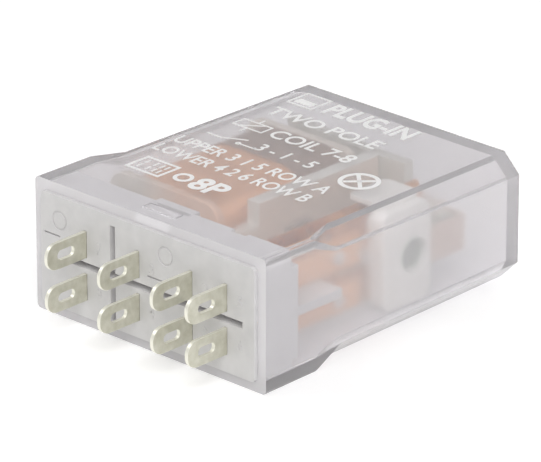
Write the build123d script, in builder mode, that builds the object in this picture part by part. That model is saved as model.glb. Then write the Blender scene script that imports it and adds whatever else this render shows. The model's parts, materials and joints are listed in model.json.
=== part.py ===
"""Plug-in relay with two changeover poles, in millimetres.

The relay lies on a broad face. X is its width, Y its length with the blades pointing to -Y,
Z its thickness. The origin is the middle of the bounding box, on the face that it lies on.
"""
import os
from math import radians, sqrt, tan

from build123d import *

os.makedirs("parts", exist_ok=True)

# ---------------------------------------------------------------- driving dimensions
COVER_WIDTH = 29.0
COVER_DEPTH = 13.1
BASE_FACE = -15.0  # outer face of the base
RIM = BASE_FACE + 0.4  # open end of the cover, a little behind the base's face
FAR_END = 20.0  # closed end of the cover
TIP = -20.0  # ends of the blades
MID_Z = COVER_DEPTH / 2
WORK_Z = MID_Z - 0.35  # level of the mechanism's middle plane, between the two poles
POLE_PITCH = 4.2
ROWS = {"upper": WORK_Z + POLE_PITCH / 2, "lower": WORK_Z - POLE_PITCH / 2}

# cover
WALL = 1.0
END_WALL = 1.3
CORNER = 0.45
DRAFT = 0.4  # degrees, on every side of the cover
CHAMFER = 1.95
BAND_END = -8.55  # the plain band ends here and the chamfers begin
CHAMFER_FULL = -4.8

# base
FIT = 0.05
FLOOR = 2.0
BASE_TOP = -10.7
BASE_WALL = 1.0
RIB = 0.9
GROOVE = 0.65
GROOVE_DEPTH = 1.2

# blades
BLADE = 0.4
BLADE_WIDTH = 2.6
COIL_X, NC_X, COMMON_X, NO_X = -7.75, -1.05, 5.6, 9.9
EYE_LENGTH = 2.1
EYE_WIDTH = 0.95
EYE_Y = BASE_FACE - 2.6
SLOT_CLEARANCE = 0.03
BEND = 0.5
TIP_ROUND = 0.46  # share of the blade's width
COIL_BLADE_END = BASE_TOP + 0.6

# contacts
SPRING = 0.25
SPRING_WIDTH = 3.6
SPRING_X = 8.525
SPRING_ROOT = -10.4
SPRING_TIP = 12.2
SPRING_CORNER = 0.5
FLEX_Y = -9.5  # the springs bend about this line
CONTACT_Y = -1.5
CONTACT_R = 1.0
SHANK_R = 0.45
MOVING_HEAD = 0.5
FIXED_HEAD = 0.55
NC_GAP = 0.03
CONTACT_TRAVEL = 0.47
STRIP_END = 1.4
NC_STRIP_X = SPRING_X - SPRING / 2 - MOVING_HEAD - NC_GAP - FIXED_HEAD - BLADE / 2
NO_STRIP_X = SPRING_X + SPRING / 2 + MOVING_HEAD + CONTACT_TRAVEL + FIXED_HEAD + BLADE / 2
LAP_GAP = 0.06
COMMON_STRIP_X = SPRING_X + SPRING / 2 + LAP_GAP + BLADE / 2
COMMON_JOG = -12.0
COMMON_END = FLEX_Y + 0.9
NC_JOG = -10.1
NO_JOG = (-12.4, -11.2)
HOLE_CLEARANCE = 0.03
HEAD_ROUND = 0.18
TAIL = 0.25  # a rivet's closed end
TAIL_R = 0.75

# coil
COIL_AXIS_X = -6.0
CORE_R = 2.0
CORE_HEAD_R = 2.6
POLE_R = 3.4
POLE_FACE = 13.35
FOOT = -8.1  # outer face of the yoke's foot
STEEL = 1.5
FLANGE = 0.9
NEAR_FLANGE = FOOT + STEEL + 0.05
FAR_FLANGE = 11.65
FLANGE_X = 14.0
FLANGE_Z = 9.9
FLANGE_CORNER = 1.9
TUBE_R = 2.9
WINDING_X = 12.6
WINDING_Z = 9.4
WINDING_R = 3.0
TAPE = 0.15
TAPE_START = 5.4
LEAD_R = 0.13
LEAD_X = COIL_AXIS_X - WINDING_X / 2 - 0.25
LEAD_BEND = 0.4
LEAD_SLOT = 0.5
AIR = 0.03

# yoke and armature
LEG_X = 1.4  # inner face of the yoke's leg
LEG_START = -3.2
LEG_END = 13.4
LEG_WIDTH = 9.8
FOOT_WIDTH = 5.2
PIVOT_X = LEG_X + STEEL / 2  # the armature tips on the round end of the yoke's leg
OPEN_ANGLE = 5.0
ARMATURE = 1.2
ARMATURE_FACE = LEG_END + 0.05
ARMATURE_LEFT = -10.2
ARMATURE_RIGHT = 5.7
ARMATURE_WIDTH = 9.4
ARM_X = 10.2
ARM = 1.0
ARM_END = 3.8
ARM_WIDTH = 3.0

# actuator card
CARD_OUT = 11.9
CARD_Y = (3.2, 9.8)
CARD_WIDTH = 9.4
CARD_CORNER = 1.2
CARD_EDGE = 0.25
FINGER_Y = 4.6
FINGER = 0.8
FINGER_GAP = 0.08
FINGER_SPAN = 7.0
FINGER_CORNER = 0.35
INNER_BAR = 0.9
STEM = 1.1
CAP_X = (7.3, 11.1)
CAP_Y = (3.9, 9.1)
CAP_Z = (10.72, 11.2)  # clear of the upper spring's edge
CAP_CORNER = 0.6
WINDOW_R = 1.7
WINDOW_Y = 7.4
LEAF = 0.2
LEAF_WIDTH = 3.6
LEAF_OVERHANG = 1.5
LEAF_RIVET_X = 8.0

# return spring
RETURN_X = 4.6
RETURN_R = 1.1
RETURN_WIRE = 0.25
RETURN_Y = (3.6, 12.4)
HOOK_R = 0.14
ANCHOR = 0.5
ANCHOR_Y = 2.9
ANCHOR_WIDTH = 3.0
ANCHOR_RIVET_Y = 1.4
ANCHOR_START = 0.0

OVERLAP = 0.1  # run of one shape into the next, so that they join


def across(y):
    """Plane square to the relay's length: its x is +X, its y is +Z, and -amount runs along +Y."""
    return Plane.XZ.offset(-y)


def save(builder, name):
    """Label a finished piece and write it under its own name."""
    builder.part.label = name
    export_step(builder.part, f"parts/{name}.step")


def cover_form(wall, start, end):
    """The cover's outer form, or the cavity inside it when wall is above zero."""
    half_x = COVER_WIDTH / 2 - wall
    half_z = COVER_DEPTH / 2 - wall
    depth = CHAMFER / sqrt(2) - wall * (sqrt(2) - 1)
    shrink = (end - start) * tan(radians(DRAFT)) * sqrt(2)
    slope = (CHAMFER_FULL - BAND_END) / depth
    reach = 2.0
    with BuildPart() as form:
        with BuildSketch(Plane((0, start, MID_Z), x_dir=(1, 0, 0), z_dir=(0, 1, 0))):
            RectangleRounded(2 * half_x, 2 * half_z, CORNER)
        extrude(amount=end - start, taper=DRAFT)
        for side_x in (-1, 1):
            for side_z in (-1, 1):
                outward = Vector(side_x, 0, side_z).normalized()
                corner = (side_x * half_x, 0, MID_Z + side_z * half_z)
                plane = Plane(corner, x_dir=outward, z_dir=outward.cross(Vector(0, 1, 0)))
                with BuildSketch(plane):
                    Polygon(
                        (-depth, CHAMFER_FULL),
                        (-depth - shrink, FAR_END + reach),
                        (reach, FAR_END + reach),
                        (reach, BAND_END - reach * slope),
                        align=None,
                    )
                extrude(amount=reach * 2, both=True, mode=Mode.SUBTRACT)
    return form.part


# ---------------------------------------------------------------- cover
NUB_X = -0.55
NUB_LENGTH = 4.0
NUB_Y = -12.2
NUB_HEIGHT = 1.0
NUB_OUT = 0.3
END_ROUND = 0.3
outer_form = cover_form(0, RIM, FAR_END)
cavity_form = cover_form(WALL, RIM - 1, FAR_END - END_WALL)
base_half_x = COVER_WIDTH / 2 - WALL - FIT
base_half_z = COVER_DEPTH / 2 - WALL - FIT

with BuildPart() as cover:
    add(outer_form)
    fillet(cover.faces().sort_by(Axis.Y)[-1].edges(), END_ROUND)
    add(cavity_form, mode=Mode.SUBTRACT)
    for side in (-1, 1):
        with BuildSketch(across(NUB_Y - NUB_HEIGHT / 2 - FIT)):
            with Locations((NUB_X, MID_Z + side * (base_half_z + FIT))):
                Rectangle(NUB_LENGTH + 2 * FIT, 2 * (NUB_OUT + FIT))
        extrude(amount=-(NUB_HEIGHT + 2 * FIT), mode=Mode.SUBTRACT)
save(cover, "cover")

# ---------------------------------------------------------------- base
CROSS_X = -4.2
GROOVE_X = (-9.6, 12.0)
GROOVE_Z = (1.7, 11.1)
MARK = 0.18
MARK_LENGTH = 2.1
MARK_DEPTH = 0.3
MARK_CENTRES = ((-12.0, 8.1), (1.2, 7.5))
EJECTOR_R = 0.95
EJECTOR_CENTRES = ((-11.0, 9.7), (2.5, 10.1))
EJECTOR_DEPTH = 0.1
SUPPORT_TOP = FOOT - 0.04
RIB_TOP = -3.5
RIB_START = LEG_X + STEEL + 0.4
SOCKET_FLOOR = BASE_FACE + FLOOR + 0.5
HEAD_ROOM = 0.4
LEDGE_X = COIL_X + 1.0
LEDGE_TOP = BASE_TOP + 0.4
SLOT_DEPTH = FLOOR + 0.5
TAB_X = (-3.0, 1.9)
TAB_TOP = BASE_TOP + 0.8
SIDE_TOP = BASE_TOP + 0.9
SLIT_X = (-2.5, 1.9)
SLIT_Y = (BASE_TOP - 0.7, BASE_TOP - 0.2)
SLIT_DEPTH = 0.6
NOTCH_X = (7.0, 8.8)
NOTCH = 0.5

with BuildPart() as base:
    with BuildSketch(across(BASE_FACE)):
        with Locations((0, MID_Z)):
            RectangleRounded(2 * base_half_x, 2 * base_half_z, CORNER)
    extrude(amount=-(BASE_TOP - BASE_FACE))
    with BuildSketch(across(BASE_FACE + FLOOR)):
        with Locations((0, MID_Z)):
            RectangleRounded(2 * (base_half_x - BASE_WALL), 2 * (base_half_z - BASE_WALL), CORNER)
    extrude(amount=-(BASE_TOP - BASE_FACE), mode=Mode.SUBTRACT)
    # middle rib: low under the blades' cross links, high between the two poles, with a socket
    with BuildSketch(Plane.XY.offset(WORK_Z - RIB / 2)):
        floor_y = BASE_FACE + FLOOR - OVERLAP
        inner_x = base_half_x - BASE_WALL / 2
        socket = (LEG_X - HOLE_CLEARANCE, LEG_X + STEEL + HOLE_CLEARANCE)
        head_x = COIL_AXIS_X + CORE_HEAD_R + HEAD_ROOM
        Polygon(
            (-inner_x, floor_y),
            (inner_x, floor_y),
            (inner_x, RIB_TOP),
            (RIB_START, RIB_TOP),
            (RIB_START, FOOT),
            (socket[1], FOOT),
            (socket[1], SOCKET_FLOOR),
            (socket[0], SOCKET_FLOOR),
            (socket[0], SUPPORT_TOP),
            (head_x, SUPPORT_TOP),
            (head_x, BASE_TOP),
            (LEDGE_X, BASE_TOP),
            (LEDGE_X, LEDGE_TOP),
            (-inner_x, LEDGE_TOP),
            align=None,
        )
    extrude(amount=RIB)
    # cross rib between the coil's blades and the first contact blades
    with BuildSketch(across(floor_y)):
        with Locations((CROSS_X, MID_Z)):
            Rectangle(RIB, 2 * (base_half_z - BASE_WALL / 2))
    extrude(amount=-(BASE_TOP - floor_y))
    # a tab over a slit, and a notch, in each of the two broad walls
    for side in (-1, 1):
        wall_z = MID_Z + side * (base_half_z - BASE_WALL / 2)
        slit_z = MID_Z + side * base_half_z
        with BuildSketch(across(BASE_TOP - OVERLAP)):
            with Locations(((TAB_X[0] + TAB_X[1]) / 2, wall_z)):
                Rectangle(TAB_X[1] - TAB_X[0], BASE_WALL - 2 * FIT)
        extrude(amount=-(TAB_TOP - BASE_TOP + OVERLAP))
        with BuildSketch(across(SLIT_Y[0])):
            with Locations(((SLIT_X[0] + SLIT_X[1]) / 2, slit_z)):
                Rectangle(SLIT_X[1] - SLIT_X[0], 2 * SLIT_DEPTH)
        extrude(amount=-(SLIT_Y[1] - SLIT_Y[0]), mode=Mode.SUBTRACT)
        with BuildSketch(across(BASE_TOP - NOTCH)):
            with Locations(((NOTCH_X[0] + NOTCH_X[1]) / 2, wall_z)):
                Rectangle(NOTCH_X[1] - NOTCH_X[0], 2 * BASE_WALL)
        extrude(amount=-2 * NOTCH, mode=Mode.SUBTRACT)
    # snap nubs on the broad walls, and narrow walls that stand a little higher
    for side in (-1, 1):
        with BuildSketch(across(NUB_Y - NUB_HEIGHT / 2)):
            with Locations((NUB_X, MID_Z + side * base_half_z)):
                Rectangle(NUB_LENGTH, 2 * NUB_OUT)
        extrude(amount=-NUB_HEIGHT)
        with BuildSketch(across(BASE_TOP - OVERLAP)):
            with Locations((side * (base_half_x - BASE_WALL / 2), MID_Z)):
                Rectangle(BASE_WALL - 2 * FIT, 2 * (base_half_z - BASE_WALL))
        extrude(amount=-(SIDE_TOP - BASE_TOP + OVERLAP))
    # the sketch plane faces out of the base, so a negative amount cuts into it
    with BuildSketch(across(BASE_FACE)):
        with Locations(((GROOVE_X[0] + GROOVE_X[1]) / 2, WORK_Z)):
            Rectangle(GROOVE_X[1] - GROOVE_X[0], GROOVE)
        with Locations((CROSS_X, (GROOVE_Z[0] + GROOVE_Z[1]) / 2)):
            Rectangle(GROOVE, GROOVE_Z[1] - GROOVE_Z[0])
    extrude(amount=-GROOVE_DEPTH, mode=Mode.SUBTRACT)
    with BuildSketch(across(BASE_FACE)):
        with Locations(*MARK_CENTRES):
            Rectangle(MARK_LENGTH, MARK)
    extrude(amount=-MARK_DEPTH, mode=Mode.SUBTRACT)
    with BuildSketch(across(BASE_FACE)):
        with Locations(*EJECTOR_CENTRES):
            Circle(EJECTOR_R)
            Circle(EJECTOR_R - MARK, mode=Mode.SUBTRACT)
    extrude(amount=-EJECTOR_DEPTH, mode=Mode.SUBTRACT)
    # slots for the blades
    with BuildSketch(across(BASE_FACE)):
        with Locations(*[(x, z) for x in (COIL_X, NC_X, COMMON_X, NO_X) for z in ROWS.values()]):
            Rectangle(BLADE + 2 * SLOT_CLEARANCE, BLADE_WIDTH + 2 * SLOT_CLEARANCE)
    extrude(amount=-SLOT_DEPTH, mode=Mode.SUBTRACT)
save(base, "base")

# ---------------------------------------------------------------- blades with their inner strips
ROUTES = {
    "coil": ((COIL_X, TIP), (COIL_X, COIL_BLADE_END)),
    "nc": ((NC_X, TIP), (NC_X, NC_JOG), (NC_STRIP_X, NC_JOG), (NC_STRIP_X, STRIP_END)),
    "common": (
        (COMMON_X, TIP),
        (COMMON_X, COMMON_JOG),
        (COMMON_STRIP_X, COMMON_JOG),
        (COMMON_STRIP_X, COMMON_END),
    ),
    "no": ((NO_X, TIP), (NO_X, NO_JOG[0]), (NO_STRIP_X, NO_JOG[1]), (NO_STRIP_X, STRIP_END)),
}
RIVET_HOLES = {
    "nc": (NC_STRIP_X, CONTACT_Y),
    "common": (COMMON_STRIP_X, FLEX_Y),
    "no": (NO_STRIP_X, CONTACT_Y),
}

for row, row_z in ROWS.items():
    for kind, route in ROUTES.items():
        with BuildPart() as terminal:
            with BuildSketch(Plane.XY.offset(row_z - BLADE_WIDTH / 2)):
                with BuildLine() as centre_line:
                    if len(route) == 2:
                        Line(*route)
                    else:
                        FilletPolyline(*route, radius=BEND)
                trace(centre_line.line, line_width=BLADE)
            extrude(amount=BLADE_WIDTH)
            fillet(terminal.edges().filter_by(Axis.X).group_by(Axis.Y)[0], BLADE_WIDTH * TIP_ROUND)
            with BuildSketch(Plane.YZ.offset(route[0][0])):
                with Locations((EYE_Y, row_z)):
                    SlotOverall(EYE_LENGTH, EYE_WIDTH)
            extrude(amount=BLADE, both=True, mode=Mode.SUBTRACT)
            if kind in RIVET_HOLES:
                hole_x, hole_y = RIVET_HOLES[kind]
                with BuildSketch(Plane.YZ.offset(hole_x)):
                    with Locations((hole_y, row_z)):
                        Circle(SHANK_R + HOLE_CLEARANCE)
                extrude(amount=BLADE, both=True, mode=Mode.SUBTRACT)
        save(terminal, f"{kind}_terminal_{row}")


# ---------------------------------------------------------------- rivets
def rivet(y, levels, shank, heads):
    """Rivets along X, one at each level. Each head is (start, end, radius), rounded at its free end."""
    with BuildPart() as group:
        for level in levels:
            with BuildSketch(Plane.YZ.offset(shank[0])):
                with Locations((y, level)):
                    Circle(SHANK_R)
            extrude(amount=shank[1] - shank[0])
            for start, end, radius in heads:
                with BuildSketch(Plane.YZ.offset(start)):
                    with Locations((y, level)):
                        Circle(radius)
                extrude(amount=end - start)
        for _, end, radius in heads:
            rims = group.edges().filter_by(GeomType.CIRCLE)
            rims = rims.filter_by(lambda e: abs(e.radius - radius) < 1e-6)
            rims = rims.filter_by(lambda e: abs(e.arc_center.X - end) < 1e-6)
            fillet(rims, HEAD_ROUND)
    return group


moving_left = SPRING_X - SPRING / 2
moving_right = SPRING_X + SPRING / 2
nc_face = NC_STRIP_X + BLADE / 2
nc_back = NC_STRIP_X - BLADE / 2
no_face = NO_STRIP_X - BLADE / 2
no_back = NO_STRIP_X + BLADE / 2
common_right = COMMON_STRIP_X + BLADE / 2
both_rows = list(ROWS.values())

save(
    rivet(
        CONTACT_Y,
        both_rows,
        (nc_back, nc_face),
        ((nc_face, nc_face + FIXED_HEAD, CONTACT_R), (nc_back, nc_back - TAIL, TAIL_R)),
    ),
    "nc_contacts",
)
save(
    rivet(
        CONTACT_Y,
        both_rows,
        (no_face, no_back),
        ((no_face, no_face - FIXED_HEAD, CONTACT_R), (no_back, no_back + TAIL, TAIL_R)),
    ),
    "no_contacts",
)
save(
    rivet(
        FLEX_Y,
        both_rows,
        (moving_left - LAP_GAP, common_right),
        (
            (moving_left - LAP_GAP, moving_left - LAP_GAP - TAIL, TAIL_R),
            (common_right, common_right + TAIL, TAIL_R),
        ),
    ),
    "common_rivets",
)

for row, row_z in ROWS.items():
    # ------------------------------------------------------------ moving contact springs
    # wider than the blades on the side away from the other pole
    outward = 1 if row_z > WORK_Z else -1
    spring_z = row_z + outward * (SPRING_WIDTH - BLADE_WIDTH) / 2
    with BuildPart() as spring:
        with BuildSketch(Plane.YZ.offset(SPRING_X - SPRING / 2)):
            with Locations(((SPRING_ROOT + SPRING_TIP) / 2, spring_z)):
                RectangleRounded(SPRING_TIP - SPRING_ROOT, SPRING_WIDTH, SPRING_CORNER)
            with Locations((CONTACT_Y, row_z)):
                Circle(SHANK_R + HOLE_CLEARANCE, mode=Mode.SUBTRACT)
            with Locations((FLEX_Y, row_z)):
                Circle(SHANK_R + 2 * LAP_GAP, mode=Mode.SUBTRACT)
        extrude(amount=SPRING)
    save(spring, f"{row}_spring")
    save(
        rivet(
            CONTACT_Y,
            [row_z],
            (moving_left, moving_right),
            (
                (moving_left, moving_left - MOVING_HEAD, CONTACT_R),
                (moving_right, moving_right + MOVING_HEAD, CONTACT_R),
            ),
        ),
        f"{row}_contact",
    )

# ---------------------------------------------------------------- yoke and core
TONGUE_END = SOCKET_FLOOR + 0.1
TONGUE_WIDTH = RIB - 2 * HOLE_CLEARANCE
YOKE_LEFT = -9.4
YOKE_EDGE = 0.04
leg_outer = LEG_X + STEEL
tongue_top = FOOT + OVERLAP

with BuildPart() as yoke:
    with BuildSketch(Plane.XY.offset(WORK_Z - LEG_WIDTH / 2)):
        with Locations((PIVOT_X, (LEG_START + LEG_END - STEEL / 2) / 2)):
            Rectangle(STEEL, LEG_END - STEEL / 2 - LEG_START)
        with Locations((PIVOT_X, LEG_END - STEEL / 2)):
            Circle(STEEL / 2)
    extrude(amount=LEG_WIDTH)
    with BuildSketch(Plane.XY.offset(WORK_Z - FOOT_WIDTH / 2)):
        with BuildLine():
            FilletPolyline(
                (YOKE_LEFT, FOOT),
                (leg_outer, FOOT),
                (leg_outer, LEG_START + OVERLAP),
                (LEG_X, LEG_START + OVERLAP),
                (LEG_X, FOOT + STEEL),
                (YOKE_LEFT, FOOT + STEEL),
                radius=YOKE_EDGE,
                close=True,
            )
        make_face()
    extrude(amount=FOOT_WIDTH)
    with BuildSketch(Plane.XY.offset(WORK_Z - TONGUE_WIDTH / 2)):
        with Locations((PIVOT_X, (TONGUE_END + tongue_top) / 2)):
            Rectangle(STEEL, tongue_top - TONGUE_END)
    extrude(amount=TONGUE_WIDTH)
    with BuildSketch(across(FOOT)):
        with Locations((COIL_AXIS_X, WORK_Z)):
            Circle(CORE_R + HOLE_CLEARANCE)
    extrude(amount=-STEEL, mode=Mode.SUBTRACT)
    with BuildSketch(Plane.YZ.offset(LEG_X)):
        with Locations((ANCHOR_RIVET_Y, WORK_Z)):
            Circle(SHANK_R + HOLE_CLEARANCE)
    extrude(amount=STEEL, mode=Mode.SUBTRACT)
save(yoke, "yoke")

RIVETED_HEAD = 0.55
RIVETED_ROUND = 0.3
POLE_HEAD = 0.8
with BuildPart() as core:
    for y, length, radius in (
        (FOOT - RIVETED_HEAD, RIVETED_HEAD, CORE_HEAD_R),
        (FOOT, POLE_FACE - FOOT, CORE_R),
        (POLE_FACE - POLE_HEAD, POLE_HEAD, POLE_R),
    ):
        with BuildSketch(across(y)):
            with Locations((COIL_AXIS_X, WORK_Z)):
                Circle(radius)
        extrude(amount=-length)
    fillet(core.edges().filter_by(GeomType.CIRCLE).group_by(Axis.Y)[0], RIVETED_ROUND)
save(core, "core")

# ---------------------------------------------------------------- bobbin, winding, tape, leads
with BuildPart() as bobbin:
    with BuildSketch(across(NEAR_FLANGE)):
        with Locations((COIL_AXIS_X, WORK_Z)):
            Circle(TUBE_R)
    extrude(amount=-(FAR_FLANGE + FLANGE - NEAR_FLANGE))
    for y in (NEAR_FLANGE, FAR_FLANGE):
        with BuildSketch(across(y)):
            with Locations((COIL_AXIS_X, WORK_Z)):
                RectangleRounded(FLANGE_X, FLANGE_Z, FLANGE_CORNER)
        extrude(amount=-FLANGE)
    with BuildSketch(across(NEAR_FLANGE)):
        with Locations(*[(LEAD_X - LEAD_SLOT, z) for z in both_rows]):
            Rectangle(3 * LEAD_SLOT, LEAD_SLOT)
    extrude(amount=-FLANGE, mode=Mode.SUBTRACT)
    with BuildSketch(across(NEAR_FLANGE)):
        with Locations((COIL_AXIS_X, WORK_Z)):
            Circle(CORE_R + HOLE_CLEARANCE)
    extrude(amount=-(FAR_FLANGE + FLANGE - NEAR_FLANGE), mode=Mode.SUBTRACT)
save(bobbin, "bobbin")

winding_start = NEAR_FLANGE + FLANGE + AIR
winding_end = FAR_FLANGE - AIR
with BuildPart() as winding:
    with BuildSketch(across(winding_start)):
        with Locations((COIL_AXIS_X, WORK_Z)):
            RectangleRounded(WINDING_X, WINDING_Z, WINDING_R)
            Circle(TUBE_R + AIR, mode=Mode.SUBTRACT)
    extrude(amount=-(winding_end - winding_start))
save(winding, "winding")

with BuildPart() as coil_tape:
    with BuildSketch(across(TAPE_START)):
        with Locations((COIL_AXIS_X, WORK_Z)):
            for grow, how in ((AIR + TAPE, Mode.ADD), (AIR, Mode.SUBTRACT)):
                RectangleRounded(WINDING_X + 2 * grow, WINDING_Z + 2 * grow, WINDING_R + grow, mode=how)
    extrude(amount=-(winding_end - TAPE_START))
save(coil_tape, "coil_tape")

lead_end_x = COIL_X - BLADE / 2 - LEAD_R - AIR
LEAD_Y = (winding_start + 1.2, FOOT - 0.6, BASE_TOP + 0.9, BASE_TOP + 0.1)
for row, row_z in ROWS.items():
    with BuildPart() as lead:
        with BuildLine() as wire:
            FilletPolyline(
                (LEAD_X, LEAD_Y[0], row_z),
                (LEAD_X, LEAD_Y[1], row_z),
                (lead_end_x, LEAD_Y[2], row_z),
                (lead_end_x, LEAD_Y[3], row_z),
                radius=LEAD_BEND,
            )
        with BuildSketch(Plane(wire.line @ 0, z_dir=wire.line % 0)):
            Circle(LEAD_R)
        sweep()
    save(lead, f"coil_lead_{row}")

# ---------------------------------------------------------------- armature
open_rise = (PIVOT_X - ARMATURE_LEFT) * tan(radians(OPEN_ANGLE))
arm_outer = ARM_X + ARM
armature_back = ARMATURE_FACE + ARMATURE

with BuildPart() as armature:
    with BuildSketch(Plane.XY.offset(WORK_Z - ARMATURE_WIDTH / 2)):
        Polygon(
            (ARMATURE_LEFT, ARMATURE_FACE + open_rise),
            (PIVOT_X, ARMATURE_FACE),
            (ARMATURE_RIGHT, ARMATURE_FACE),
            (ARMATURE_RIGHT, armature_back),
            (PIVOT_X, armature_back),
            (ARMATURE_LEFT, armature_back + open_rise),
            align=None,
        )
    extrude(amount=ARMATURE_WIDTH)
    with BuildSketch(Plane.XY.offset(WORK_Z - ARM_WIDTH / 2)):
        with BuildLine():
            Polyline(
                (ARMATURE_RIGHT - OVERLAP, ARMATURE_FACE),
                (ARM_X, ARMATURE_FACE),
                (ARM_X, ARM_END),
                (arm_outer, ARM_END),
                (arm_outer, armature_back),
                (ARMATURE_RIGHT - OVERLAP, armature_back),
                close=True,
            )
        make_face()
    extrude(amount=ARM_WIDTH)
    with BuildSketch(across(ARMATURE_FACE)):
        with Locations((LEAF_RIVET_X, WORK_Z)):
            Circle(SHANK_R + HOLE_CLEARANCE)
    extrude(amount=-ARMATURE, mode=Mode.SUBTRACT)
save(armature, "armature")

# ---------------------------------------------------------------- actuator card
inner_bar = SPRING_X - SPRING / 2 - FINGER_GAP
outer_bar = SPRING_X + SPRING / 2 + FINGER_GAP
pocket = (ARM_END - HOLE_CLEARANCE, CARD_Y[1] + OVERLAP)
with BuildPart() as actuator_card:
    with BuildSketch(Plane.YZ.offset(ARM_X)):
        with Locations(((CARD_Y[0] + CARD_Y[1]) / 2, WORK_Z)):
            RectangleRounded(CARD_Y[1] - CARD_Y[0], CARD_WIDTH, CARD_CORNER)
    extrude(amount=CARD_OUT - ARM_X)
    fillet(actuator_card.faces().sort_by(Axis.X)[-1].edges(), CARD_EDGE)
    # pocket for the arm, open towards the far end, and the round window over it
    with BuildSketch(Plane.YZ.offset(ARM_X)):
        with Locations(((pocket[0] + pocket[1]) / 2, WORK_Z)):
            Rectangle(pocket[1] - pocket[0], ARM_WIDTH + 2 * HOLE_CLEARANCE)
    extrude(amount=ARM + HOLE_CLEARANCE, mode=Mode.SUBTRACT)
    with BuildSketch(Plane.YZ.offset(ARM_X)):
        with Locations((WINDOW_Y, WORK_Z)):
            Circle(WINDOW_R)
    extrude(amount=CARD_OUT - ARM_X, mode=Mode.SUBTRACT)
    # cap over the edge of the upper spring
    with BuildSketch(Plane.XY.offset(CAP_Z[0])):
        with Locations(((CAP_X[0] + CAP_X[1]) / 2, (CAP_Y[0] + CAP_Y[1]) / 2)):
            RectangleRounded(CAP_X[1] - CAP_X[0], CAP_Y[1] - CAP_Y[0], CAP_CORNER)
    extrude(amount=CAP_Z[1] - CAP_Z[0])
    # bars either side of the springs, joined by a stem between them
    with BuildSketch(Plane.XY.offset(WORK_Z - FINGER_SPAN / 2)):
        for left, right in ((inner_bar - INNER_BAR, inner_bar), (outer_bar, ARM_X)):
            with Locations(((left + right) / 2, FINGER_Y)):
                RectangleRounded(right - left, FINGER, FINGER_CORNER)
    extrude(amount=FINGER_SPAN)
    with BuildSketch(Plane.XY.offset(WORK_Z - STEM / 2)):
        with Locations(((inner_bar - INNER_BAR / 2 + ARM_X) / 2, FINGER_Y)):
            Rectangle(ARM_X - inner_bar + INNER_BAR / 2, FINGER)
    extrude(amount=STEM)
    with BuildSketch(Plane.YZ.offset(ARM_X - FINGER / 2)):
        with Locations((FINGER_Y, WORK_Z)):
            Rectangle(FINGER, FINGER_SPAN)
    extrude(amount=FINGER / 2)
save(actuator_card, "actuator_card")

leaf_x = arm_outer + LEAF / 2 + AIR
leaf_y = armature_back + LEAF / 2 + AIR
with BuildPart() as armature_leaf:
    with BuildSketch(Plane.XY.offset(WORK_Z - LEAF_WIDTH / 2)):
        with BuildLine() as leaf_line:
            Polyline(
                (leaf_x, CARD_Y[1] + AIR),
                (leaf_x, leaf_y),
                (ARMATURE_RIGHT - LEAF_OVERHANG, leaf_y),
            )
        trace(leaf_line.line, line_width=LEAF)
    extrude(amount=LEAF_WIDTH)
    with BuildSketch(across(armature_back)):
        with Locations((LEAF_RIVET_X, WORK_Z)):
            Circle(SHANK_R + HOLE_CLEARANCE)
    extrude(amount=-2 * LEAF, mode=Mode.SUBTRACT)
save(armature_leaf, "armature_leaf")

leaf_back = armature_back + LEAF + AIR
with BuildPart() as leaf_rivet:
    for y, length, radius in (
        (ARMATURE_FACE - TAIL, TAIL, TAIL_R),
        (ARMATURE_FACE, leaf_back - ARMATURE_FACE, SHANK_R),
        (leaf_back, TAIL, TAIL_R),
    ):
        with BuildSketch(across(y)):
            with Locations((LEAF_RIVET_X, WORK_Z)):
                Circle(radius)
        extrude(amount=-length)
    fillet(leaf_rivet.edges().filter_by(GeomType.CIRCLE).group_by(Axis.Y)[-1], HEAD_ROUND)
save(leaf_rivet, "leaf_rivet")

# ---------------------------------------------------------------- return spring and its anchor
hooks = (
    (ANCHOR_Y + ANCHOR / 2 + AIR, RETURN_Y[0] + OVERLAP),
    (RETURN_Y[1] - OVERLAP, ARMATURE_FACE - AIR),
)
with BuildPart() as return_spring:
    with BuildSketch(across(RETURN_Y[0])):
        with Locations((RETURN_X, WORK_Z)):
            Circle(RETURN_R)
            Circle(RETURN_R - RETURN_WIRE, mode=Mode.SUBTRACT)
    extrude(amount=-(RETURN_Y[1] - RETURN_Y[0]))
    for y, end in hooks:
        with BuildSketch(across(y)):
            with Locations((RETURN_X, WORK_Z + RETURN_R - RETURN_WIRE / 2)):
                Circle(HOOK_R)
        extrude(amount=-(end - y))
save(return_spring, "return_spring")

with BuildPart() as spring_anchor:
    with BuildSketch(Plane.XY.offset(WORK_Z - ANCHOR_WIDTH / 2)):
        with BuildLine() as anchor_line:
            Polyline(
                (leg_outer + AIR + ANCHOR / 2, ANCHOR_START),
                (leg_outer + AIR + ANCHOR / 2, ANCHOR_Y),
                (RETURN_X + RETURN_R, ANCHOR_Y),
            )
        trace(anchor_line.line, line_width=ANCHOR)
    extrude(amount=ANCHOR_WIDTH)
    with BuildSketch(Plane.YZ.offset(leg_outer)):
        with Locations((ANCHOR_RIVET_Y, WORK_Z)):
            Circle(SHANK_R + HOLE_CLEARANCE)
    extrude(amount=2 * ANCHOR, mode=Mode.SUBTRACT)
save(spring_anchor, "spring_anchor")

anchor_face = leg_outer + AIR + ANCHOR
save(
    rivet(ANCHOR_RIVET_Y, [WORK_Z], (LEG_X, anchor_face), ((anchor_face, anchor_face + TAIL, TAIL_R),)),
    "anchor_rivet",
)
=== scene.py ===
"""Plug-in relay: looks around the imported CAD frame.

Lengths are in metres, or in millimetres where they are multiplied by MM or scaled by it to place a piece.
"""
import json
import math

import bmesh
import bpy
from mathutils import Matrix, Vector


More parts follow.
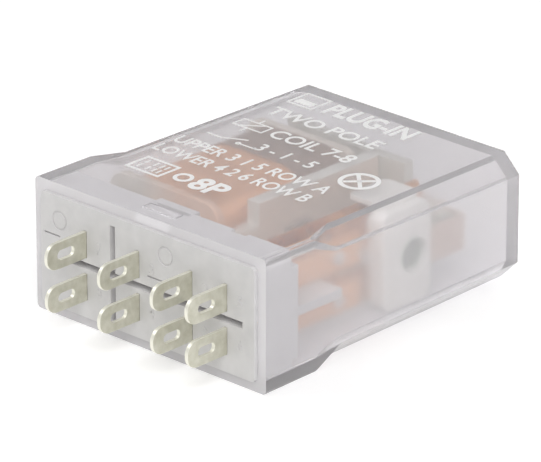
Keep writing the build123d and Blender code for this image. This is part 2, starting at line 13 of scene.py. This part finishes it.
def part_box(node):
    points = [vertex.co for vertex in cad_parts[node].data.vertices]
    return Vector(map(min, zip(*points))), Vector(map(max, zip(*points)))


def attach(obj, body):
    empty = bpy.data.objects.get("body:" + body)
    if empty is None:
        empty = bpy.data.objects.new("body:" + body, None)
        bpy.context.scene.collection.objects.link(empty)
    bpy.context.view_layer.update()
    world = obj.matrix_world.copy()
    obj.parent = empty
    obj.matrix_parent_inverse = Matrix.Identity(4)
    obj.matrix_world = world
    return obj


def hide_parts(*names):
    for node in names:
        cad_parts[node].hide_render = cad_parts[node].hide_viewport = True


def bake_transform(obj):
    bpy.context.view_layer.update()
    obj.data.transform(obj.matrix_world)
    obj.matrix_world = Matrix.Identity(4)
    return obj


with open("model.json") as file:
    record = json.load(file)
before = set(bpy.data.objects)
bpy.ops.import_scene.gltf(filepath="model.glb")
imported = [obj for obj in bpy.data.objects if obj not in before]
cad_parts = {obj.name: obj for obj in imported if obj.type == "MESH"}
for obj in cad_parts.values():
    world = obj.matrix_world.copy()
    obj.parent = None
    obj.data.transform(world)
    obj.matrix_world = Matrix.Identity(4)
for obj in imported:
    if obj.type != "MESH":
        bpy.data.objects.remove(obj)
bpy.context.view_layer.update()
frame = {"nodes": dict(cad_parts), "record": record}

MM = 0.001
HOUSING = "housing"
ROWS = ("upper", "lower")
RECORD = frame["record"]
BODY_OF = {name: body for body, names in RECORD["behaviour"]["bodies"].items() for name in names}
SLOT_OF = {part["node"]: part["material_slot"] for part in RECORD["subparts"]}


def add_object(name, data):
    """A new object, linked to the scene."""
    made = bpy.data.objects.new(name, data)
    bpy.context.scene.collection.objects.link(made)
    return made


# ---------------------------------------------------------------- camera, floor, light
AZIMUTH = 43.29
ELEVATION = 22.75
DISTANCE = 0.4685
LENS = 339.6  # with SENSOR, in millimetres, as Blender takes them
SENSOR = 36.0
AIM = Vector((1.19, 0.11, 7.57)) * MM

# name, place and size in metres, power in watts
LIGHTS = (
    ("front", (0.30, -0.30, 0.40), 0.40, 1.45),
    ("left", (-0.35, -0.20, 0.40), 0.30, 0.6),
)
WORLD_STRENGTH = 0.53
FLOOR_HALF = 1.5
FLOOR_GAP = 0.02 * MM
FLOOR_GLOW = 0.25


def make_camera():
    azimuth, elevation = math.radians(AZIMUTH), math.radians(ELEVATION)
    back = Vector((math.sin(azimuth), -math.cos(azimuth), math.tan(elevation))).normalized()
    data = bpy.data.cameras.new("camera")
    data.lens = LENS
    data.sensor_width = SENSOR
    camera = add_object("camera", data)
    camera.location = AIM + back * DISTANCE
    camera.rotation_euler = back.to_track_quat("Z", "Y").to_euler()
    bpy.context.scene.camera = camera


def make_light(name, place, size, power):
    data = bpy.data.lights.new(name, "AREA")
    data.shape = "DISK"
    data.size = size
    data.energy = power
    light = add_object(name, data)
    light.location = place
    light.rotation_euler = (Vector(place) - AIM).to_track_quat("Z", "Y").to_euler()


def make_world():
    world = bpy.data.worlds.new("studio")
    world.use_nodes = True
    background = world.node_tree.nodes["Background"]
    background.inputs["Color"].default_value = (1.0, 0.99, 0.985, 1)
    background.inputs["Strength"].default_value = WORLD_STRENGTH
    bpy.context.scene.world = world
    bpy.context.scene.view_settings.view_transform = "Standard"


def make_floor():
    mesh = bpy.data.meshes.new("floor")
    corners = [(x * FLOOR_HALF, y * FLOOR_HALF, 0) for x, y in ((-1, -1), (1, -1), (1, 1), (-1, 1))]
    mesh.from_pydata(corners, [], [(0, 1, 2, 3)])
    floor = add_object("floor", mesh)
    floor.location.z = -FLOOR_GAP
    material = bpy.data.materials.new("floor")
    material.use_nodes = True
    shader = material.node_tree.nodes["Principled BSDF"]
    shader.inputs["Base Color"].default_value = (0.93, 0.93, 0.93, 1)
    shader.inputs["Roughness"].default_value = 0.9
    shader.inputs["Emission Color"].default_value = (1, 1, 1, 1)
    shader.inputs["Emission Strength"].default_value = FLOOR_GLOW
    mesh.materials.append(material)


# ---------------------------------------------------------------- materials
def new_material(name, colour, roughness, **sockets):
    """A Principled material, with its node tree and shader. sockets are inputs, with _ for a space."""
    material = bpy.data.materials.new(name)
    material.use_nodes = True
    tree = material.node_tree
    shader = tree.nodes["Principled BSDF"]
    shader.inputs["Base Color"].default_value = (*colour, 1)
    shader.inputs["Roughness"].default_value = roughness
    for socket, value in sockets.items():
        shader.inputs[socket.replace("_", " ")].default_value = value
    return material, tree, shader


def node(tree, kind, **settings):
    """A new node of that kind with these settings."""
    made = tree.nodes.new(kind)
    for name, value in settings.items():
        setattr(made, name, value)
    return made


def place_on_object(tree):
    """The point on the object, in metres."""
    return node(tree, "ShaderNodeTexCoord").outputs["Object"]


def grey(value):
    return (value, value, value)


def noise(tree, scale, detail=4.0, stretch=(1, 1, 1)):
    """Noise in object space. scale is in features per millimetre."""
    mapping = node(tree, "ShaderNodeMapping")
    mapping.inputs["Scale"].default_value = Vector(stretch) * scale / MM
    texture = node(tree, "ShaderNodeTexNoise")
    texture.inputs["Scale"].default_value = 1.0
    texture.inputs["Detail"].default_value = detail
    tree.links.new(place_on_object(tree), mapping.inputs["Vector"])
    tree.links.new(mapping.outputs["Vector"], texture.inputs["Vector"])
    return texture.outputs["Fac"]


def ramp(tree, source, low, high, start=0.3, end=0.7):
    """source mapped from start..end to the colours low..high."""
    made = node(tree, "ShaderNodeValToRGB")
    made.color_ramp.elements[0].position = start
    made.color_ramp.elements[1].position = end
    made.color_ramp.elements[0].color = (*low, 1)
    made.color_ramp.elements[1].color = (*high, 1)
    tree.links.new(source, made.inputs["Fac"])
    return made.outputs["Color"]


def bump(tree, shader, source, height):
    """source as a bump of that height in millimetres."""
    made = node(tree, "ShaderNodeBump")
    made.inputs["Distance"].default_value = height * MM
    made.inputs["Strength"].default_value = 1.0
    tree.links.new(source, made.inputs["Height"])
    tree.links.new(made.outputs["Normal"], shader.inputs["Normal"])


def blended(tree, factor, first, second):
    """The colour first where factor is 0 and second where it is 1."""
    made = node(tree, "ShaderNodeMix", data_type="RGBA")
    tree.links.new(factor, made.inputs["Factor"])
    for socket, source in (("A", first), ("B", second)):
        if isinstance(source, tuple):
            made.inputs[socket].default_value = (*source, 1)
        else:
            tree.links.new(source, made.inputs[socket])
    return made.outputs["Result"]


def facing(tree, axis, start, end):
    """0 to 1 as the surface turns to face along the object's X, Y or Z axis, either way."""
    normal = node(tree, "ShaderNodeSeparateXYZ")
    tree.links.new(node(tree, "ShaderNodeTexCoord").outputs["Normal"], normal.inputs["Vector"])
    flat = node(tree, "ShaderNodeMath", operation="ABSOLUTE")
    tree.links.new(normal.outputs[axis], flat.inputs[0])
    return ramp(tree, flat.outputs[0], grey(0), grey(1), start, end)


def along(tree, axis, start, end):
    """0 to 1 between two places, in metres, on the object's X, Y or Z axis."""
    axes = node(tree, "ShaderNodeSeparateXYZ")
    tree.links.new(place_on_object(tree), axes.inputs["Vector"])
    made = node(tree, "ShaderNodeMapRange")
    made.inputs["From Min"].default_value = start
    made.inputs["From Max"].default_value = end
    tree.links.new(axes.outputs[axis], made.inputs["Value"])
    return made.outputs["Result"]


def moulded_grain(tree, shader):
    bump(tree, shader, noise(tree, 12, 2), 0.004)


def zinc_plate(name, colour, metallic):
    """Rough grained plate whose colour is still to be linked: material, tree, shader and grain."""
    material, tree, shader = new_material(name, colour, 0.42, Metallic=metallic)
    grain = noise(tree, 2.5, 5)
    tree.links.new(ramp(tree, noise(tree, 0.9), grey(0.35), grey(0.5)), shader.inputs["Roughness"])
    bump(tree, shader, grain, 0.003)
    return material, tree, shader, grain


def clear_material():
    """Hazy polycarbonate: rough glass with a milky share, clearest on the broad faces, milkiest on the rim.

    Shadow rays pass straight through it, so that light reaches the pieces inside.
    """
    material, tree, shader = new_material(
        "hazy_polycarbonate", (0.87, 0.856, 0.872), 0.2, Transmission_Weight=0.8, IOR=1.45
    )
    frosted = ramp(tree, noise(tree, 0.35), grey(0.2), grey(0.26))
    clearer = ramp(tree, noise(tree, 0.35), grey(0.09), grey(0.13))
    broad = facing(tree, "Z", 0.8, 0.98)
    tree.links.new(blended(tree, broad, frosted, clearer), shader.inputs["Roughness"])
    # how much light each stretch lets through
    sides, rim_face, broad_faces = grey(0.765), grey(0.42), grey(0.86)
    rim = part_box("cover")[0][1]
    near_rim = blended(tree, facing(tree, "Y", 0.9, 0.99), sides, rim_face)
    rest = blended(tree, along(tree, "Y", rim + 0.5 * MM, rim + 1.0 * MM), near_rim, sides)
    tree.links.new(blended(tree, broad, rest, broad_faces), shader.inputs["Transmission Weight"])
    bump(tree, shader, noise(tree, 0.5, 2), 0.004)
    lamps = node(tree, "ShaderNodeLightPath")
    through = node(tree, "ShaderNodeBsdfTransparent")
    through.inputs["Color"].default_value = (0.95, 0.95, 0.96, 1)
    mix = node(tree, "ShaderNodeMixShader")
    tree.links.new(lamps.outputs["Is Shadow Ray"], mix.inputs["Fac"])
    tree.links.new(shader.outputs["BSDF"], mix.inputs[1])
    tree.links.new(through.outputs["BSDF"], mix.inputs[2])
    tree.links.new(mix.outputs["Shader"], tree.nodes["Material Output"].inputs["Surface"])
    return material


def plastic(name, dark, light, roughness):
    material, tree, shader = new_material(name, light, roughness)
    tree.links.new(ramp(tree, noise(tree, 0.6), dark, light), shader.inputs["Base Color"])
    moulded_grain(tree, shader)
    return material


def metal(name, dark, light, roughness, stretch=(1, 1, 1), metallic=1.0):
    material, tree, shader = new_material(name, light, roughness, Metallic=metallic)
    grain = noise(tree, 2.5, 5, stretch)
    tree.links.new(ramp(tree, grain, dark, light), shader.inputs["Base Color"])
    low, high = grey(roughness * 0.8), grey(roughness * 1.25)
    tree.links.new(ramp(tree, noise(tree, 0.9), low, high), shader.inputs["Roughness"])
    bump(tree, shader, grain, 0.003)
    return material


def terminal_material():
    """Bronze strip, tin plated where it stands out of the base, with brighter cut edges."""
    material, tree, shader = new_material("tinned_bronze", (0.6, 0.6, 0.5), 0.34, Metallic=0.6)
    face = ramp(tree, noise(tree, 1.2, 5), (0.6, 0.59, 0.48), (0.74, 0.73, 0.63))
    plated = blended(tree, facing(tree, "X", 0.55, 0.95), (0.85, 0.84, 0.74), face)
    outer_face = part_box("base")[0][1]
    inside = along(tree, "Y", outer_face + 1.0 * MM, outer_face + 2.5 * MM)
    tree.links.new(blended(tree, inside, plated, (0.9, 0.45, 0.2)), shader.inputs["Base Color"])
    tree.links.new(ramp(tree, noise(tree, 2), grey(0.3), grey(0.5)), shader.inputs["Roughness"])
    bump(tree, shader, noise(tree, 3, 4), 0.006)
    return material


def base_material():
    """Grey moulding with painted light: a little lighter on its sides than on the outer face."""
    material, tree, shader = new_material("grey_moulding", (0.6, 0.59, 0.58), 0.5)
    mottle = noise(tree, 0.6)
    sides = ramp(tree, mottle, (0.64, 0.63, 0.635), (0.7, 0.69, 0.695))
    face = ramp(tree, mottle, (0.545, 0.54, 0.537), (0.6, 0.592, 0.587))
    # painted light: the sides are lighter than the outer face
    tree.links.new(blended(tree, facing(tree, "Y", 0.7, 0.95), sides, face), shader.inputs["Base Color"])
    moulded_grain(tree, shader)
    return material


def armature_material():
    """Zinc plate with painted shade: darker on the arm, where it lies in the card's pocket."""
    material, tree, shader, grain = zinc_plate("armature_plate", (0.7, 0.7, 0.63), 0.3)
    plate = ramp(tree, grain, (0.7, 0.68, 0.62), (0.82, 0.8, 0.74))
    # painted shade: the arm is darker where it lies in the card's pocket
    arm = ramp(tree, grain, (0.2, 0.24, 0.2), (0.27, 0.31, 0.27))
    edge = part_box("actuator_card")[1][0]
    pocket_shade = along(tree, "X", edge - 2.6 * MM, edge - 1.6 * MM)
    tree.links.new(blended(tree, pocket_shade, plate, arm), shader.inputs["Base Color"])
    return material


def yoke_material():
    """Zinc plate, painted warm where it faces the springs and the coil to stand for their light on it."""
    material, tree, shader, grain = zinc_plate("yoke_plate", (0.8, 0.8, 0.75), 0.2)
    plate = ramp(tree, grain, (0.76, 0.76, 0.71), (0.88, 0.87, 0.82))
    # painted reflection: warm where the plate faces the springs and the coil
    warm = ramp(tree, grain, (0.86, 0.74, 0.63), (0.95, 0.84, 0.74))
    tree.links.new(blended(tree, facing(tree, "X", 0.7, 0.95), plate, warm), shader.inputs["Base Color"])
    return material


def bobbin_material():
    """Natural nylon, painted warm by the base to stand for the copper's light on it, pale elsewhere."""
    material, tree, shader = new_material("natural_nylon", (0.78, 0.66, 0.56), 0.45)
    near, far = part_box("bobbin")
    mottle = noise(tree, 0.6)
    # painted reflection: the copper's warm light on the near end, by the base
    warm = ramp(tree, mottle, (0.78, 0.46, 0.3), (0.86, 0.58, 0.42))
    pale = ramp(tree, mottle, (0.66, 0.6, 0.52), (0.76, 0.7, 0.63))
    across = along(tree, "X", near[0] + 4 * MM, near[0] + 9 * MM)
    lengthwise = along(tree, "Y", near[1] + 2 * MM, far[1] - 2 * MM)
    colour = blended(tree, lengthwise, blended(tree, across, pale, warm), pale)
    tree.links.new(colour, shader.inputs["Base Color"])
    moulded_grain(tree, shader)
    return material


def winding_material():
    """Fine enamelled wire: turns run round the coil, so their lines repeat along its length."""
    material, tree, shader = new_material("enamelled_wire", (0.75, 0.33, 0.16), 0.3, Metallic=0.35)
    turns = node(tree, "ShaderNodeTexWave", bands_direction="Y")
    turns.inputs["Scale"].default_value = 1.3 / MM
    turns.inputs["Distortion"].default_value = 0.6
    tree.links.new(place_on_object(tree), turns.inputs["Vector"])
    colour = ramp(tree, turns.outputs["Fac"], (0.84, 0.37, 0.17), (1.0, 0.61, 0.35), 0.0, 1.0)
    # paler round the corner by the leads
    left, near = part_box("winding")[0][:2]
    inward = along(tree, "X", left + 1.0 * MM, left + 3.5 * MM)
    onward = along(tree, "Y", near + 1.0 * MM, near + 5.0 * MM)
    paler_corner = blended(tree, inward, (0.72, 0.64, 0.58), colour)
    tree.links.new(blended(tree, onward, paler_corner, colour), shader.inputs["Base Color"])
    bump(tree, shader, turns.outputs["Fac"], 0.05)
    return material


# ---------------------------------------------------------------- pieces
SAME_POINT = 1e-7  # metres
FLAT_ANGLE = 0.6  # faces that meet within this many degrees become one
EDGE_ANGLE = 25.0  # edges that turn more than this many degrees are rounded
RING_SIDES = 40


def refined(name, width, material):
    """The CAD node's shape as a clean mesh with its edges rounded by width, in millimetres."""
    made = bmesh.new()
    made.from_mesh(frame["nodes"][name].data)
    bmesh.ops.remove_doubles(made, verts=made.verts, dist=SAME_POINT)
    bmesh.ops.dissolve_limit(made, angle_limit=math.radians(FLAT_ANGLE), verts=made.verts, edges=made.edges)
    mesh = bpy.data.meshes.new(name + "_finished")
    made.to_mesh(mesh)
    made.free()
    mesh.materials.append(material)
    piece = add_object(name + "_finished", mesh)
    for polygon in mesh.polygons:
        polygon.use_smooth = True
        polygon.material_index = 0
    rounding = piece.modifiers.new("rounding", "BEVEL")
    rounding.width = width * MM
    rounding.segments = 3
    rounding.limit_method = "ANGLE"
    rounding.angle_limit = math.radians(EDGE_ANGLE)
    weighting = piece.modifiers.new("weighting", "WEIGHTED_NORMAL")
    weighting.weight = 100
    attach(piece, BODY_OF[name])
    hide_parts(name)


def mesh_of(source):
    """The mesh of a text or curve object, which is then dropped."""
    mesh = bpy.data.meshes.new_from_object(source)
    data = source.data
    bpy.data.objects.remove(source)
    bpy.data.curves.remove(data)
    return mesh


def words(made, text, box, thickness, weight):
    """Adds text to a bmesh as closed letters, made bolder by weight.

    They fill box: left, right, low and high in millimetres. thickness is half of theirs, here and below.
    """
    curve = bpy.data.curves.new("words", "FONT")
    curve.body = text
    curve.offset = weight
    curve.extrude = 1.0
    curve.resolution_u = 4
    mesh = mesh_of(bpy.data.objects.new("words", curve))
    columns = [vertex.co.x for vertex in mesh.vertices]
    lines = [vertex.co.y for vertex in mesh.vertices]
    first_column, first_line = min(columns), min(lines)
    left, right, low, high = box
    scale_x = (right - left) / (max(columns) - first_column)
    scale_y = (high - low) / (max(lines) - first_line)
    for vertex in mesh.vertices:
        x, y, z = vertex.co
        vertex.co = (left + (x - first_column) * scale_x, low + (y - first_line) * scale_y, z * thickness)
    made.from_mesh(mesh)
    bpy.data.meshes.remove(mesh)


def prism(made, outline, thickness):
    """Adds a flat outline, in millimetres, to a bmesh as a closed plate."""
    rings = [[made.verts.new((x, y, z)) for x, y in outline] for z in (-thickness, thickness)]
    made.faces.new(list(reversed(rings[0])))
    made.faces.new(rings[1])
    for i in range(len(outline)):
        j = (i + 1) % len(outline)
        made.faces.new((rings[0][i], rings[0][j], rings[1][j], rings[1][i]))


def stroke(made, start, end, width, thickness):
    """Adds a straight bar from start to end."""
    a, b = Vector(start), Vector(end)
    side = (b - a).orthogonal().normalized() * width / 2
    corners = [a - side, b - side, b + side, a + side]
    if (corners[1] - corners[0]).cross(corners[2] - corners[1]) < 0:
        corners.reverse()
    prism(made, [tuple(c) for c in corners], thickness)


def frame_of_strokes(made, box, width, thickness):
    """Adds a rectangle drawn as four bars."""
    left, right, low, high = box
    half = width / 2
    for y in (low, high):
        stroke(made, (left - half, y), (right + half, y), width, thickness)
    for x in (left, right):
        stroke(made, (x, low + half), (x, high - half), width, thickness)


def ring(made, centre, radius, width, thickness):
    """Adds a flat ring."""
    turns = [2 * math.pi * i / RING_SIDES for i in range(RING_SIDES)]
    loops = []
    for r, z in ((radius, -1), (radius, 1), (radius - width, 1), (radius - width, -1)):
        points = [(centre[0] + r * math.cos(t), centre[1] + r * math.sin(t)) for t in turns]
        loops.append([made.verts.new((x, y, z * thickness)) for x, y in points])
    for one, two in zip(loops, loops[1:] + loops[:1]):
        for i in range(RING_SIDES):
            j = (i + 1) % RING_SIDES
            made.faces.new((one[i], one[j], two[j], two[i]))


def fixed_piece(name, made, matrix, material):
    """A piece from a bmesh drawn in millimetres, placed by matrix and riding on the housing."""
    made.transform(matrix @ Matrix.Scale(MM, 4))
    bmesh.ops.recalc_face_normals(made, faces=made.faces)
    mesh = bpy.data.meshes.new(name)
    made.to_mesh(mesh)
    made.free()
    mesh.materials.append(material)
    piece = add_object(name, mesh)
    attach(piece, HOUSING)


# ---------------------------------------------------------------- print on the broad face
INK = 0.012  # half of the print's thickness
INK_LIFT = 0.016  # the print's middle above the face
DRAFT = 0.4  # degrees that the broad face falls away from the rim
PLAIN = 0.012  # how far letters are thickened
BOLD = 0.03

# text, its span along X, its span along Y, weight
PRINT_ROWS = (
    ("PLUG-IN", (-6.6, 3.9), (15.2, 17.9), BOLD),
    ("TWO POLE", (-10.4, 3.4), (11.5, 13.5), PLAIN),
    ("COIL 7-8", (-6.1, 4.0), (7.2, 9.2), PLAIN),
    ("3 - 1 - 5", (-4.7, 2.4), (3.9, 5.6), PLAIN),
    ("UPPER 3 1 5 ROW A", (-11.6, 7.6), (0.2, 2.0), PLAIN),
    ("LOWER 4 2 6 ROW B", (-11.6, 7.6), (-2.5, -0.7), PLAIN),
    ("8P", (-2.9, 0.9), (-7.1, -4.2), BOLD),
)

# widths of the symbols' lines
THIN_LINE = 0.2
MARK_LINE = 0.25
OUTLINE = 0.3
BLADE_LINE = 0.22
RING_LINE = 0.4
LAMP_LINE = 0.45
CROSS_LINE = 0.4


def mark_symbol(made):
    """A square with a filled half, where the first row begins."""
    frame_of_strokes(made, (-10.7, -7.7, 15.1, 18.0), MARK_LINE, INK)
    prism(made, [(-10.3, 15.5), (-8.1, 15.5), (-8.1, 16.5), (-10.3, 16.5)], INK)


def coil_symbol(made):
    """A box with a slash and two leads."""
    frame_of_strokes(made, (-10.5, -6.9, 7.4, 9.0), THIN_LINE, INK)
    stroke(made, (-9.7, 7.5), (-7.7, 8.9), THIN_LINE, INK)
    for low, high in ((9.1, 9.9), (6.5, 7.3)):
        stroke(made, (-8.7, low), (-8.7, high), THIN_LINE, INK)


def contact_symbol(made):
    """A changeover contact."""
    stroke(made, (-10.6, 4.0), (-8.6, 4.0), THIN_LINE, INK)
    stroke(made, (-8.6, 4.1), (-6.4, 5.2), THIN_LINE, INK)
    stroke(made, (-6.3, 4.0), (-4.4, 4.0), THIN_LINE, INK)
    ring(made, (-6.6, 4.0), 0.3, THIN_LINE, INK)


def blade_symbol(made):
    """The pattern of the blades in an outline, and a ring before the last row."""
    frame_of_strokes(made, (-10.2, -6.2, -7.1, -4.2), OUTLINE, INK)
    length = 0.8
    for x in (-9.4, -8.3, -7.5, -6.9):
        for y in (-6.6, -5.5):
            stroke(made, (x, y), (x, y + length), BLADE_LINE, INK)
    ring(made, (-4.3, -5.65), 1.0, RING_LINE, INK)


def lamp_symbol(made):
    """A ring with a cross."""
    centre = Vector((7.9, 4.8))
    ring(made, centre, 2.0, LAMP_LINE, INK)
    reach = 1.5
    for turn in (45, 135):
        arm = Vector((math.cos(math.radians(turn)), math.sin(math.radians(turn)))) * reach
        stroke(made, centre - arm, centre + arm, CROSS_LINE, INK)


def make_print():
    """Everything printed on the broad face, drawn in the object's own X and Y."""
    low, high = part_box("cover")
    rim_edge = Matrix.Translation((0, low[1], high[2]))
    slope = Matrix.Rotation(-math.radians(DRAFT), 4, "X")
    from_rim = Matrix.Translation((0, -low[1], INK_LIFT * MM))
    made = bmesh.new()
    for text, across, up, weight in PRINT_ROWS:
        words(made, text, (*across, *up), INK, weight)
    for symbol in (mark_symbol, coil_symbol, contact_symbol, blade_symbol, lamp_symbol):
        symbol(made)
    ink = plastic("white_ink", grey(0.88), grey(0.95), 0.45)
    fixed_piece("print", made, rim_edge @ slope @ from_rim, ink)


# ---------------------------------------------------------------- numerals on the base
NUMERAL_HEIGHT = 1.1
NUMERAL_WIDTH = 0.6
NUMERAL_BESIDE = 1.45  # from the blade's middle to the numeral
NUMERAL_RELIEF = 0.06
NUMERAL_WEIGHT = 0.01

# where each pair of blades stands along X, and its numerals in the order of ROWS
BLADES = {
    "coil": (-7.75, ("7", "8")),
    "nc": (-1.05, ("3", "4")),
    "common": (5.6, ("1", "2")),
    "no": (9.9, ("5", "6")),
}


def make_numerals(material):
    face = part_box("base")[0][1]
    plane = Matrix.Translation((0, face, 0)) @ Matrix.Rotation(math.radians(90), 4, "X")
    made = bmesh.new()
    for kind, (blade_x, pair) in BLADES.items():
        for row, digit in zip(ROWS, pair):
            low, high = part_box(f"{kind}_terminal_{row}")
            z = (low[2] + high[2]) / 2 / MM
            left = blade_x + NUMERAL_BESIDE
            box = (left, left + NUMERAL_WIDTH, z - NUMERAL_HEIGHT / 2, z + NUMERAL_HEIGHT / 2)
            words(made, digit, box, NUMERAL_RELIEF, NUMERAL_WEIGHT)
    fixed_piece("numerals", made, plane, material)


# ---------------------------------------------------------------- return spring
SPRING_TURNS = 13
SPRING_TAIL = 0.5
WIRE = 0.13  # the wire's radius
STEPS = 20  # points in one turn
EYE_TURN = 1.5 * math.pi


def make_return_spring(material):
    """A close wound coil with a tail and a small eye at each end, hooked on anchor and armature."""
    low, high = (Vector(c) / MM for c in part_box("return_spring"))
    outer = (high[0] - low[0]) / 2
    axis_x = (low[0] + high[0]) / 2
    axis_z = high[2] - outer
    radius = outer - WIRE
    eye = radius / 2

    def wound(turn, y, size):
        """A point on a turn of that size that touches the coil's top."""
        return (axis_x + size * math.sin(turn), y, axis_z + radius - size + size * math.cos(turn))

    start, end = low[1] + SPRING_TAIL, high[1] - SPRING_TAIL
    count = SPRING_TURNS * STEPS
    path = [wound(-EYE_TURN * (1 - i / STEPS), low[1] + WIRE, eye) for i in range(STEPS)]
    for i in range(count + 1):
        share = i / count
        path.append(wound(2 * math.pi * SPRING_TURNS * share, start + (end - start) * share, radius))
    path += [wound(EYE_TURN * (i + 1) / STEPS, high[1] - WIRE, eye) for i in range(STEPS)]
    curve = bpy.data.curves.new("return_spring_wire", "CURVE")
    curve.dimensions = "3D"
    curve.bevel_depth = WIRE
    curve.bevel_resolution = 3
    curve.use_fill_caps = True
    spline = curve.splines.new("POLY")
    spline.points.add(len(path) - 1)
    for point, place in zip(spline.points, path):
        point.co = (*place, 1)
    mesh = mesh_of(bpy.data.objects.new("return_spring_wire", curve))
    mesh.transform(Matrix.Scale(MM, 4))
    mesh.materials.append(material)
    for polygon in mesh.polygons:
        polygon.use_smooth = True
    piece = add_object("return_spring_wire", mesh)
    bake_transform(piece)
    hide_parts("return_spring")


def finish_nodes():
    """Every CAD node gets its material, as a clean mesh with rounded edges."""
    # slot: its material and how far edges are rounded, in millimetres
    looks = {
        "cover": (clear_material(), 0.16),
        "base": (base_material(), 0.1),
        "terminal": (terminal_material(), 0.1),
        "bronze": (metal("spring_bronze", (0.7, 0.33, 0.14), (0.9, 0.5, 0.26), 0.3, (1, 0.2, 1)), 0.03),
        "silver": (metal("contact_silver", grey(0.6), (0.82, 0.81, 0.78), 0.25), 0.03),
        "rivet": (metal("rivet_brass", (0.5, 0.4, 0.22), (0.7, 0.6, 0.38), 0.3), 0.03),
        "steel": (metal("zinc_plate", (0.76, 0.76, 0.71), (0.88, 0.87, 0.82), 0.42, metallic=0.2), 0.08),
        "spring_steel": (metal("spring_steel", grey(0.45), grey(0.62), 0.25), 0.03),
        "bobbin": (bobbin_material(), 0.08),
        "winding": (winding_material(), 0.05),
        "tape": (plastic("brown_tape", (0.22, 0.14, 0.1), (0.31, 0.21, 0.16), 0.3), 0.03),
        "card": (plastic("white_moulding", (0.85, 0.84, 0.8), (0.93, 0.92, 0.88), 0.4), 0.08),
    }
    # nodes that look different from the rest of their slot
    own_looks = {
        "yoke": yoke_material(),
        "armature": armature_material(),
        "armature_leaf": metal("pale_bronze", (0.66, 0.5, 0.42), (0.78, 0.62, 0.54), 0.35, metallic=0.5),
    }
    for name, slot in SLOT_OF.items():
        material, width = looks[slot]
        if name == "return_spring":
            make_return_spring(material)
        else:
            refined(name, width, own_looks.get(name, material))
    make_numerals(looks["base"][0])


make_camera()
for light in LIGHTS:
    make_light(*light)
make_world()
make_floor()
finish_nodes()
make_print()
